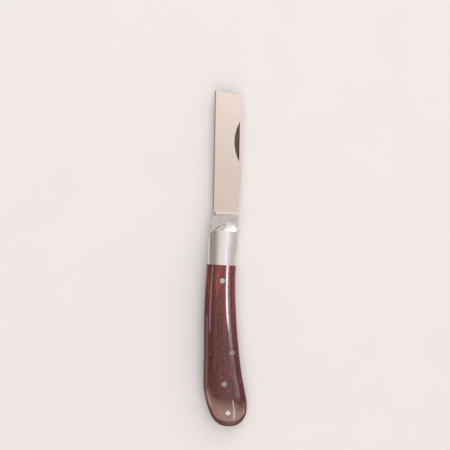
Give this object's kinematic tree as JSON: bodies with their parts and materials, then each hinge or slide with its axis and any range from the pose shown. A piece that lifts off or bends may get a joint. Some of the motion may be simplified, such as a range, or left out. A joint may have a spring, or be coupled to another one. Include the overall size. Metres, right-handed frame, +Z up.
{
  "type": "grafting knife",
  "caption": "Folding grafting knife with a square-ended single-bevel blade, steel bolsters, curved red wooden scales, liners, a backspring and flush steel pins.",
  "frame": {"origin": "middle of the open knife's footprint, on the plane that the back scale rests on", "axes": "+Y along the knife towards the blade's tip, +X towards the spine and backspring, +Z up from the resting face to the front face with the nail nick; the cutting edge is on the -X side"},
  "size_m": [0.0218, 0.1646, 0.0121],
  "materials": {
    "blade_steel": "satin ground stainless, fine lines across the blade",
    "spring_steel": "satin, ground flush with the handle's back",
    "liner_steel": "satin sheet steel",
    "bolster_steel": "polished, faint lengthwise satin",
    "red_wood": "clear gloss lacquer over red-brown rosewood with fine pores",
    "pin_steel": "polished flush"
  },
  "bodies": {
    "handle": {"liner_front": "liner_steel", "liner_back": "liner_steel", "bolster_front": "bolster_steel", "bolster_back": "bolster_steel", "scale_front": "red_wood", "scale_back": "red_wood", "backspring_tail": "spring_steel", "pivot_pin": "bolster_steel", "spring_pin": "pin_steel", "tail_pin": "pin_steel", "butt_pin": "pin_steel", "scale_rivet_front": "pin_steel", "scale_rivet_back": "pin_steel", "bolster_rivet_front_upper": "bolster_steel", "bolster_rivet_front_lower": "bolster_steel", "bolster_rivet_back_upper": "bolster_steel", "bolster_rivet_back_lower": "bolster_steel"},
    "blade": {"blade": "blade_steel"},
    "backspring": {"backspring_arm": "spring_steel"}
  },
  "joints": [
    {"name": "blade_pivot", "type": "hinge", "parent": "handle", "child": "blade", "pos_m": [-0.00379, 0.0127, 0.00605], "axis": [0, 0, 1], "range_deg": [0, 180]},
    {"name": "backspring_flex", "type": "hinge", "parent": "handle", "child": "backspring", "pos_m": [0.00321, -0.046, 0.00605], "axis": [0, 0, -1], "range_deg": [0, 0.8], "stiffness_Nm_per_rad": 60}
  ]
}
